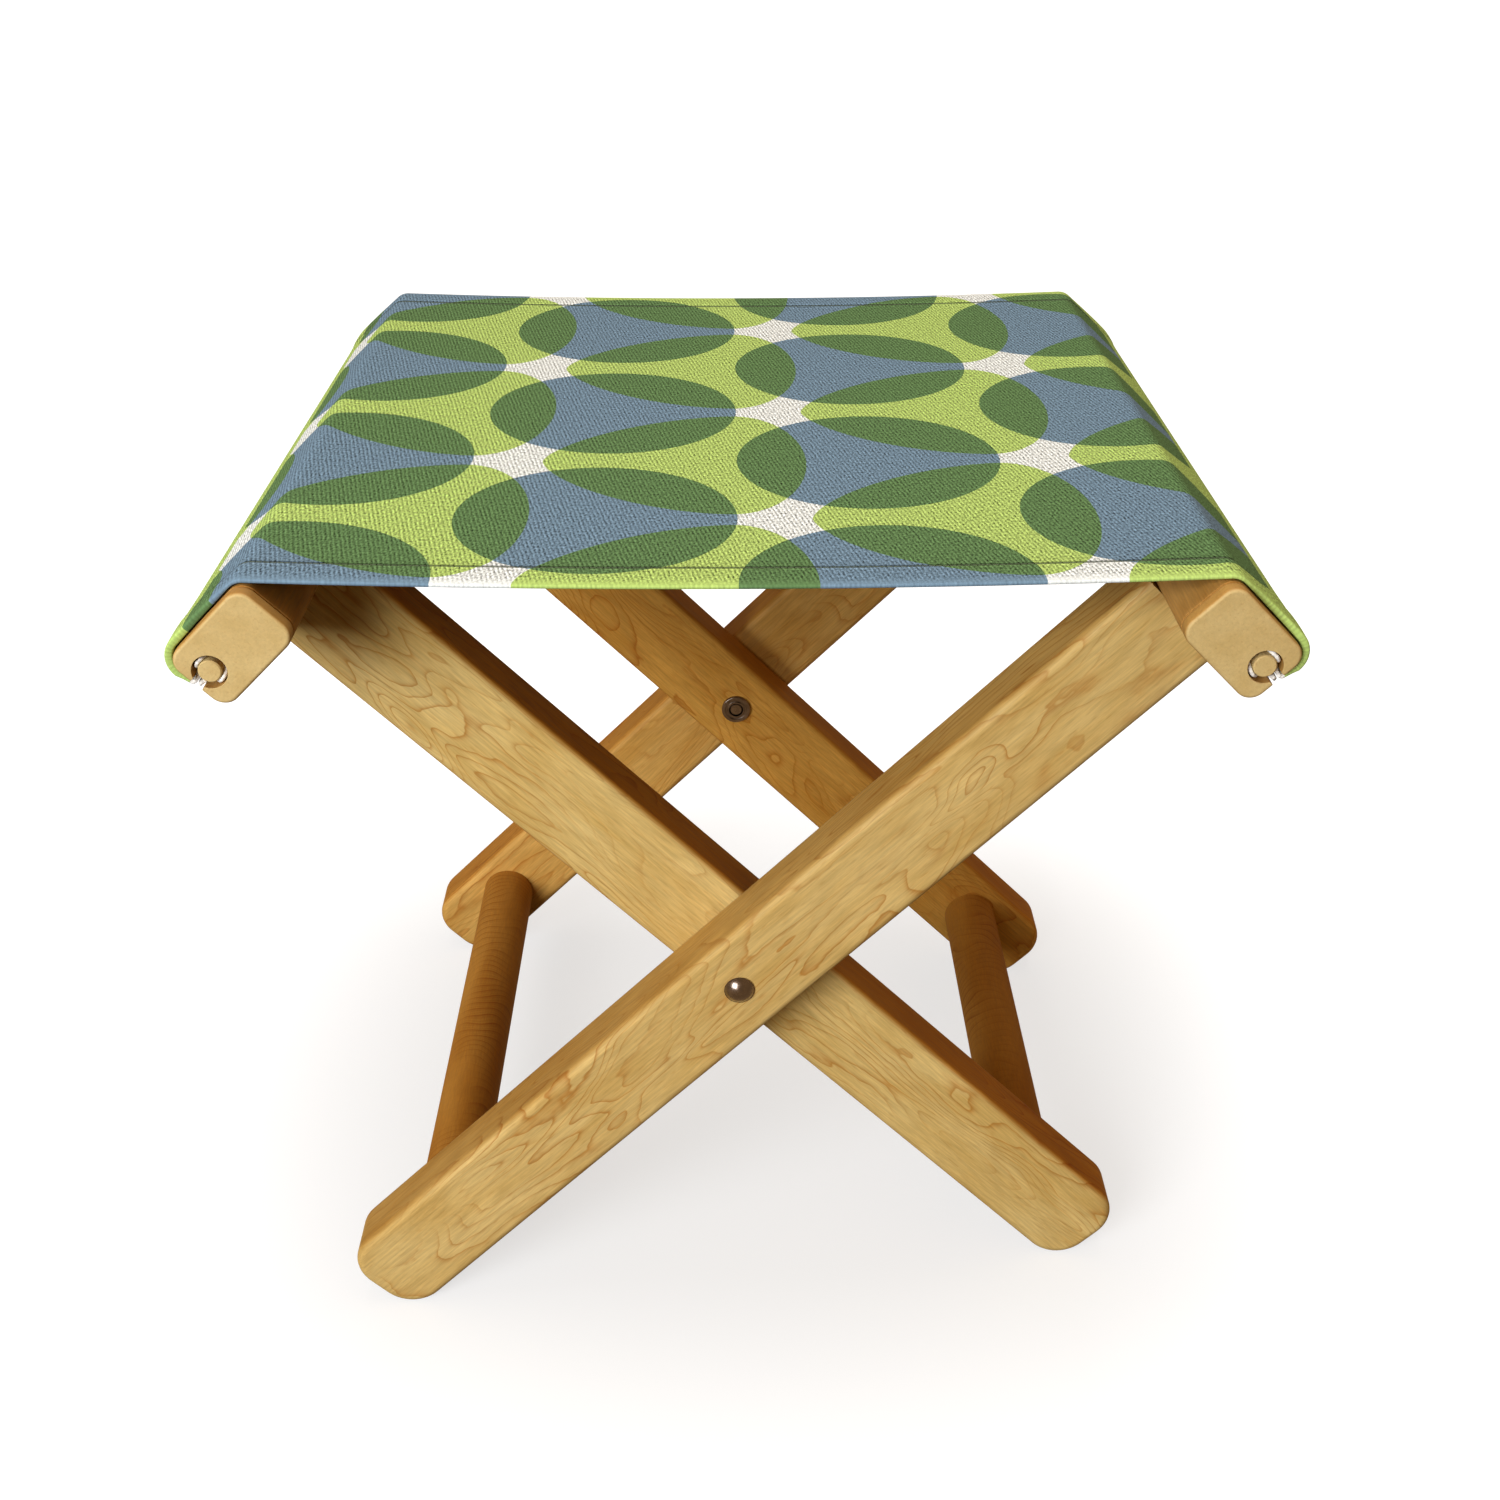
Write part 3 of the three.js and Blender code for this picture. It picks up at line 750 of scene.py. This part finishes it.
leg_outer_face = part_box("outer_leg_back")[1].y
leg_inner_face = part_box("inner_leg_back")[0].y
washer_y = (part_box("outer_leg_back")[0].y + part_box("inner_leg_back")[1].y) / 2
dome_radius = (head_radius**2 + head_height**2) / (2 * head_height)
dome_angle = math.asin(head_radius / dome_radius)
centre = Matrix.Translation(pivot)
bronze = brushed_metal("dark_bronze", centre, bronze_dark, bronze_worn, 0.24, 0.32)
bronze_nut = brushed_metal("dark_bronze_nut", centre, bronze_dark, bronze_worn, 0.30, 0.44)
steel = brushed_metal("washer_steel", centre, steel_dark, steel_worn, 0.30, 0.45)
for end, turn in (("front", 0), ("back", math.pi)):
    facing = Matrix.Translation(pivot) @ Matrix.Rotation(turn, 4, "Z")
    dome = []
    for step in range(dome_steps + 1):
        angle = dome_angle * step / dome_steps
        dome.append(
            (dome_radius * math.sin(angle), -fit - dome_radius * (math.cos(angle) - math.cos(dome_angle)))
        )
    dome[-1] = (head_radius, -fit - head_ease)
    shank = leg_outer_face - leg_inner_face + nut_thickness - fit
    bolt = turned(
        f"pivot_bolt_bronze_{end}",
        [
            *dome,
            (head_radius - head_ease, -fit),
            (bolt_radius, -fit),
            (bolt_radius, shank - bolt_end_ease),
            (bolt_radius - bolt_end_ease, shank),
            (0, shank),
        ],
    )
    finish_piece(
        bolt,
        facing @ Matrix.Translation((0, -leg_outer_face, 0)),
        bronze,
        "outer_frame",
        [f"pivot_bolt_{end}"],
    )
    bore = bolt_radius + fit
    groove = nut_thickness / 2
    rim = nut_flange - nut_rim
    nut = turned(
        f"pivot_nut_bronze_{end}",
        [
            (bore, -nut_length),
            (nut_sleeve, -nut_length),
            (nut_sleeve, fit),
            (nut_flange - nut_ease, fit),
            (nut_flange, fit + nut_ease),
            (nut_flange, nut_thickness - 2 * nut_ease),
            (nut_flange - nut_ease, nut_thickness - nut_ease / 2),
            (nut_flange - 2 * nut_ease, nut_thickness),
            (rim + nut_ease, nut_thickness),
            (rim, nut_thickness - nut_ease),
            (rim, groove + fit),
            (nut_hub, groove + fit),
            (nut_hub, nut_thickness - nut_ease),
            (nut_hub - nut_ease, nut_thickness),
            (bore, nut_thickness),
            (bore, -nut_length),
        ],
    )
    finish_piece(
        nut,
        facing @ Matrix.Translation((0, -leg_inner_face, 0)),
        bronze_nut,
        "outer_frame",
        [f"pivot_nut_{end}"],
    )
    half = washer_thickness / 2
    washer = turned(
        f"pivot_washer_steel_{end}",
        [
            (bore, -half),
            (washer_radius - washer_ease, -half),
            (washer_radius, -half + washer_ease),
            (washer_radius, half - washer_ease),
            (washer_radius - washer_ease, half),
            (bore, half),
            (bore, -half),
        ],
    )
    finish_piece(
        washer,
        facing @ Matrix.Translation((0, -washer_y, 0)),
        steel,
        "outer_frame",
        [f"pivot_washer_{end}"],
    )

# ---- Sling rods ----
# A thin round rod of the same fine board as the caps lies in each keyhole. With the cloth round it, it is
# too thick to be pulled out through the slot.
rod_radius = 0.0047
rod_ease = 0.0005
for rail_name, side in rail_side.items():
    low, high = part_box(f"{rail_name}_sling_rod")
    half = (high.y - low.y) / 2
    rod = turned(f"{rail_name}_sling_rod_wood", rod_profile(rod_radius, half, rod_ease), 48)
    along_rod = places[side] @ Matrix.Rotation(math.pi / 2, 4, "Z")
    board = speckled_board(f"{rail_name}_sling_rod_board", along_rod, (0.4, 0.8, 0.1))
    spot = places[side] @ Matrix.Translation((rail_middle, 0, keyhole_across))
    finish_piece(rod, spot, board, bodies[side], [f"{rail_name}_sling_rod"])

# ---- Sling ----
# One length of printed cotton canvas. It spans the rails with a slight sag, runs down the outside of each
# one, in through the slot and round the rod. Its front and back edges are turned under and stitched.
cloth_thickness = 0.0008
cloth_lift = 0.0020  # middle of the top layer over the rail
low_lift = 0.0035  # the same at the lower outer corner, where the cloth stands off
cloth_sag = 0.0035
hem_drop = 0.0009  # from the top layer to the layer turned under
hem_width = 0.0186
hem_puff = 0.0002
stitch_dip = 0.0003
middle_drop = 0.0006
loop_radius = 0.00525
cloth_flare = 0.0050  # how far its front and back edges spread outwards beside the caps
loop_flare = 0.0074  # the same round the rod
loop_lean = 0.26  # which way round the rod that spread lies, in radians
slot_bend = 0.0018
slot_layer = 0.0006
loop_start = -0.29 * math.pi
cloth_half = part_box("sling_seat")[1].y
print_white = (0.685, 0.750, 0.765)
print_lime = (0.385, 0.545, 0.155)
print_green = (0.100, 0.196, 0.078)
print_slate = (0.145, 0.235, 0.330)
cloth_reverse = (0.880, 0.880, 0.860)
thread_colour = (0.30, 0.40, 0.26)
stitch_length = 0.0028
rib_width = 0.0019
rib_slant = 0.0085
rib_depth = 0.55
yarn_depth = 2.6

seat_slope = 0.036  # how steeply the sagging seat meets the rail, in radians
underside_share = 0.4  # how much of the stand-off is left under the rail
seat_steps = 44
corner_steps = 12
side_steps = 9
slot_steps = 6
loop_steps = 44
print_end_step = 7  # the step down the rail's outer side where the pattern ends and the border begins
hem_tuck = 0.0012  # how far the layer turned under runs past the stitches
under_steps = 8
fold_steps = 6
hem_rows = (0.003, 0.006, 0.009, 0.012, 0.015, 0.017)
inner_rows = 26

corner_along = rail_reach + rail_thickness - rail_corner
corner_across = rail_height / 2 - rail_corner
bend_radius = rail_corner + cloth_lift
low_radius = rail_corner + low_lift
low_extra = low_lift - cloth_lift


def arc_points(centre, radius, start, stop, steps):
    """Points along an arc from one angle to another."""
    return [
        Vector((
            centre[0] + radius * math.cos(start + (stop - start) * i / steps),
            centre[1] + radius * math.sin(start + (stop - start) * i / steps),
        ))
        for i in range(steps + 1)
    ]


# The run over one rail, drawn in the frame's plane as (along, across), from its top corner to the rod.
underside = -corner_across - bend_radius
entry = rail_middle + slot_layer
neck = keyhole_across - keyhole_radius + 0.0003
bulge = [low_extra * math.sin(math.pi * i / (2 * side_steps)) for i in range(1, side_steps)]
wrap = [
    *arc_points((corner_along, corner_across), bend_radius, tilt + seat_slope, 0, corner_steps),
    *[
        Vector((corner_along + bend_radius + bulge[i - 1], corner_across * (1 - 2 * i / side_steps)))
        for i in range(1, side_steps)
    ],
    *arc_points((corner_along, -corner_across), low_radius, 0, -math.pi / 2, corner_steps),
    Vector((
        corner_along + (entry + slot_bend - corner_along) * 0.5,
        underside - low_extra * underside_share,
    )),
    *arc_points(
        (entry + slot_bend, underside + slot_bend), slot_bend, -math.pi / 2, -math.pi, slot_steps
    ),
    Vector((entry + slot_layer / 2, neck)),
    *arc_points((rail_middle, keyhole_across), loop_radius, loop_start, math.pi - loop_start, loop_steps),
    Vector((rail_middle - slot_layer - slot_layer / 2, neck)),
    Vector((rail_middle - slot_layer, underside + slot_bend)),
]
# How far the cloth stands off the rail at each point of the run, and how far its edges spread there.
corner_points = corner_steps + 1
stand_off = [0] * corner_points + bulge + [low_extra] * corner_points + [low_extra * underside_share]
underside_at = len(stand_off) - 1
stand_off += [0] * (len(wrap) - len(stand_off))
loop_at = len(wrap) - (loop_steps + 1) - 2
flare = [0] * corner_points + [cloth_flare * (i / side_steps) ** 2 for i in range(1, side_steps)]
flare += [cloth_flare] * (loop_at - len(flare))
for i in range(loop_steps + 1):
    angle = loop_start + (math.pi - 2 * loop_start) * i / loop_steps
    flare.append(loop_flare * math.sqrt(max(0.0, math.cos(2 * angle + loop_lean))))
flare += [cloth_flare] * (len(wrap) - len(flare))
half_run = [
    Vector(((p.x - p.y) * math.cos(tilt), pivot.z + (p.x + p.y) * math.sin(tilt))) for p in wrap
]
seat_end = half_run[0]
half_run = [
    Vector((seat_end.x * i / seat_steps, seat_end.y - cloth_sag * (1 - (i / seat_steps) ** 2)))
    for i in range(seat_steps)
] + half_run
stand_off = [0] * seat_steps + stand_off
stand_off = stand_off[:0:-1] + stand_off
flare = [0] * seat_steps + flare
flare = flare[:0:-1] + flare
run = [Vector((-p.x, p.y)) for p in reversed(half_run[1:])] + half_run
middle_of_run = len(half_run) - 1
lengths = [0.0]
for near, far in zip(run, run[1:]):
    lengths.append(lengths[-1] + (far - near).length)
across_print = [length - lengths[middle_of_run] for length in lengths]
printed_half = across_print[middle_of_run + seat_steps + underside_at]
pattern_half = across_print[middle_of_run + seat_steps + corner_steps + print_end_step]

# The rows across the cloth as (y, drop below the top layer, place on the flat cloth), from the turned
# edge at the front, round the fold, to the middle, and the same at the back.
fold = hem_drop / 2
fold_y = cloth_half - cloth_thickness / 2 - fold
stitch_y = cloth_half - hem_width
rows = []
for i in range(under_steps):
    y = fold_y - (hem_width + hem_tuck) * (1 - i / under_steps)
    rows.append((y, hem_drop, 2 * cloth_half - y))
for i in range(fold_steps + 1):
    angle = -math.pi / 2 + math.pi * i / fold_steps
    flat_y = cloth_half + fold * (1 - 2 * i / fold_steps)
    rows.append((fold_y + fold * math.cos(angle), fold - fold * math.sin(angle), flat_y))
for y in hem_rows:
    puff = hem_puff * math.sin(math.pi * y / hem_width)
    rows.append((cloth_half - y, -puff, cloth_half - y))
for behind, drop in (
    (-0.0006, stitch_dip * 0.5),
    (0, stitch_dip),
    (0.0006, stitch_dip * 0.8),
    (0.0016, stitch_dip * 0.5),
    (0.004, stitch_dip + 0.0001),
):
    rows.append((stitch_y - behind, drop, stitch_y - behind))
inner_start = stitch_y - 0.008
for i in range(inner_rows):
    y = inner_start * (1 - i / inner_rows)
    rows.append((y, middle_drop * min(1, 0.7 + i / 6), y))
rows = [(-y, drop, -flat) for y, drop, flat in rows] + [(0, middle_drop, 0)] + [
    (y, drop, flat) for y, drop, flat in reversed(rows)
]

bm = bmesh.new()
columns = len(run) - 1
bmesh.ops.create_grid(bm, x_segments=columns, y_segments=len(rows) - 1, size=1, calc_uvs=False)
print_layer = bm.loops.layers.uv.new("cloth")
spots = {}
for vert in bm.verts:
    i = round((vert.co.x + 1) / 2 * columns)
    j = round((vert.co.y + 1) / 2 * (len(rows) - 1))
    spots[vert] = (i, j)
for vert, (i, j) in spots.items():
    ahead = (run[min(i + 1, columns)] - run[max(i - 1, 0)]).normalized()
    y, drop, _ = rows[j]
    under_share = max(0, min(1, (drop - middle_drop) / (hem_drop - middle_drop)))
    drop += stand_off[i] * under_share * (abs(y) > stitch_y)
    y += math.copysign(flare[i] * max(0, (abs(y) - stitch_y) / hem_width), y)
    place = run[i] + Vector((ahead.y, -ahead.x)) * drop
    vert.co = (place.x, y, place.y)
for face in bm.faces:
    for loop in face.loops:
        i, j = spots[loop.vert]
        loop[print_layer].uv = (across_print[i], rows[j][2])
    face.smooth = True
    if min(abs(across_print[spots[loop.vert][0]]) for loop in face.loops) > printed_half:
        face.material_index = 1
sling = object_of(mesh_of(bm, "sling"), "sling")
if sling.data.polygons[len(sling.data.polygons) // 2].normal.z < 0:
    sling.data.flip_normals()


def weave(tree, cloth):
    """Twill weave: fine slanting ribs of uneven yarn. Returns the place on the cloth, the height of the rib
    and its shade."""
    apart = add_node(tree, "ShaderNodeSeparateXYZ", {0: cloth}).outputs
    wander = stretched_noise(tree, cloth, (120.0, 120.0, 0.0), 1.0)
    wander = calc(tree, "MULTIPLY", wander, 3.0)
    slant = calc(tree, "MULTIPLY_ADD", apart[1], math.tau / rib_slant, wander)
    turn = calc(tree, "MULTIPLY_ADD", apart[0], math.tau / rib_width, slant)
    rib = calc(tree, "MULTIPLY_ADD", calc(tree, "SINE", turn), 0.5, 0.5)
    yarn = stretched_noise(tree, cloth, (1150.0, 520.0, 0.0), 1.0, 0.5)
    shade = calc(tree, "MULTIPLY_ADD", calc(tree, "SUBTRACT", yarn, 0.5), yarn_depth, 1.0)
    shade = calc(tree, "MULTIPLY_ADD", calc(tree, "SUBTRACT", rib, 0.5), rib_depth, shade)
    return apart, rib, shade


def printed_canvas():
    """Canvas printed in two overlapping layers: ovals in staggered columns, and eggs lying on their sides
    between them. The colours are lime, slate and, where they overlap, deep green."""
    material, tree, shader = new_material("printed_canvas")
    cloth = add_node(tree, "ShaderNodeUVMap", uv_map="cloth").outputs[0]
    apart, rib, shade = weave(tree, cloth)
    column, row = 0.120, 0.1452
    oval_half, oval_start = 0.063, 0.0025
    tip, blunt, egg_half = 0.0863, 0.0337, 0.0665
    egg_start, egg_shift = 0.0008, 0.0883
    egg_curve, egg_taper = 1.7, 0.655

    def row_distance(start, parity):
        turn = calc(tree, "MULTIPLY_ADD", apart[1], 1 / row, 1.0 - start / row)
        turn = calc(tree, "MULTIPLY_ADD", parity, 0.5, turn)
        near = calc(tree, "SUBTRACT", calc(tree, "FRACT", calc(tree, "ADD", turn, 8.0)), 0.5)
        return calc(tree, "MULTIPLY", near, row)

    # ovals
    place = calc(tree, "MULTIPLY", apart[0], 1 / column)
    step = calc(tree, "FLOOR", place)
    parity = calc(tree, "PINGPONG", step, 1.0)
    oval_x = calc(tree, "MULTIPLY", calc(tree, "SUBTRACT", calc(tree, "FRACT", place), 0.5), 2.0)
    oval_y = calc(tree, "MULTIPLY", row_distance(oval_start, parity), 1 / oval_half)
    reach = calc(
        tree, "ADD", calc(tree, "MULTIPLY", oval_x, oval_x), calc(tree, "MULTIPLY", oval_y, oval_y)
    )
    oval = calc(tree, "LESS_THAN", reach, 1.0)

    # eggs
    place = calc(tree, "MULTIPLY_ADD", apart[0], 1 / column, egg_shift / column)
    step = calc(tree, "FLOOR", place)
    parity = calc(tree, "PINGPONG", step, 1.0)
    egg_x = calc(tree, "MULTIPLY_ADD", calc(tree, "FRACT", place), column, -tip)
    left = calc(tree, "MAXIMUM", calc(tree, "MULTIPLY", egg_x, -1 / tip), 0.0)
    right = calc(tree, "MAXIMUM", calc(tree, "MULTIPLY", egg_x, 1 / blunt), 0.0)
    left = calc(tree, "SUBTRACT", 1.0, calc(tree, "POWER", left, egg_curve))
    right = calc(tree, "SUBTRACT", 1.0, calc(tree, "MULTIPLY", right, right))
    height = calc(tree, "MULTIPLY", calc(tree, "POWER", left, egg_taper), calc(tree, "SQRT", right))
    height = calc(tree, "MULTIPLY", height, egg_half)
    egg = calc(tree, "LESS_THAN", calc(tree, "ABSOLUTE", row_distance(egg_start, parity)), height)

    plain = tone(tree, egg, (*print_white, 1), (*print_lime, 1))
    covered = tone(tree, egg, (*print_slate, 1), (*print_green, 1))
    colour = tone(tree, oval, plain, covered)
    at_end = calc(tree, "GREATER_THAN", calc(tree, "ABSOLUTE", apart[0]), pattern_half)
    colour = tone(tree, at_end, colour, (*print_lime, 1))
    # The hem is smoother toward its folded edge, and its stitches lie in a groove. Painted light: the
    # folded edge gets a painted highlight, the groove painted shade, and its crest toward the edge a
    # painted highlight.
    from_edge = calc(tree, "SUBTRACT", cloth_half, calc(tree, "ABSOLUTE", apart[1]))
    ribbed = spread(tree, from_edge, 0.002, 0.0065, 0.25, 1.0)
    shade = calc(tree, "MULTIPLY_ADD", calc(tree, "SUBTRACT", shade, 1.0), ribbed, 1.0)
    # Painted highlight along the folded edge.
    shade = calc(tree, "MULTIPLY", shade, spread(tree, from_edge, 0.002, 0.006, 1.14, 1.0))
    from_line = calc(tree, "SUBTRACT", from_edge, hem_width)
    on_line = calc(tree, "LESS_THAN", calc(tree, "ABSOLUTE", from_line), 0.0005)
    # Painted shade in the groove beside the stitches, and a painted highlight on its crest toward the edge.
    groove = spread(tree, calc(tree, "ABSOLUTE", from_line), 0.0008, 0.0018, 0.25, 1.0)
    crest_highlight = calc(tree, "COMPARE", from_line, -0.0021, 0.0007)
    shade = calc(tree, "MULTIPLY", shade, groove)
    shade = calc(tree, "MULTIPLY", shade, spread(tree, crest_highlight, 0, 1, 1.0, 1.22))
    step = calc(tree, "FRACT", calc(tree, "MULTIPLY", apart[0], 1 / stitch_length))
    stitch = calc(tree, "MULTIPLY", on_line, calc(tree, "LESS_THAN", step, 0.85))
    colour = times(tree, colour, shade)
    colour = tone(tree, calc(tree, "MULTIPLY", stitch, 0.35), colour, (*thread_colour, 1))
    tree.links.new(colour, shader.inputs["Base Color"])
    shader.inputs["Roughness"].default_value = 0.85
    shader.inputs["Specular IOR Level"].default_value = 0.1
    lift = calc(tree, "MULTIPLY_ADD", stitch, 1.2, calc(tree, "MULTIPLY", rib, ribbed))
    relief(tree, shader, lift, 0.5, 0.00025)
    return material


def plain_canvas(name, colour_of_cloth):
    """The unprinted back of the canvas, and its cut edge."""
    material, tree, shader = new_material(name)
    cloth = add_node(tree, "ShaderNodeUVMap", uv_map="cloth").outputs[0]
    _, rib, shade = weave(tree, cloth)
    shade = calc(tree, "MULTIPLY_ADD", calc(tree, "SUBTRACT", shade, 1.0), 0.35, 1.0)
    colour = times(tree, colour_of_cloth, shade)
    tree.links.new(colour, shader.inputs["Base Color"])
    shader.inputs["Roughness"].default_value = 0.9
    shader.inputs["Specular IOR Level"].default_value = 0.2
    relief(tree, shader, rib, 0.5, 0.00025)
    return material


sling.data.materials.append(printed_canvas())
sling.data.materials.append(plain_canvas("canvas_back", cloth_reverse))
shell = sling.modifiers.new("thickness", "SOLIDIFY")
shell.thickness = cloth_thickness
shell.offset = 0
shell.use_rim = True
shell.material_offset = 1
shell.material_offset_rim = 1
apply_modifiers(sling)
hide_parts("sling_seat", "right_sling_wrap", "left_sling_wrap")
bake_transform(sling)
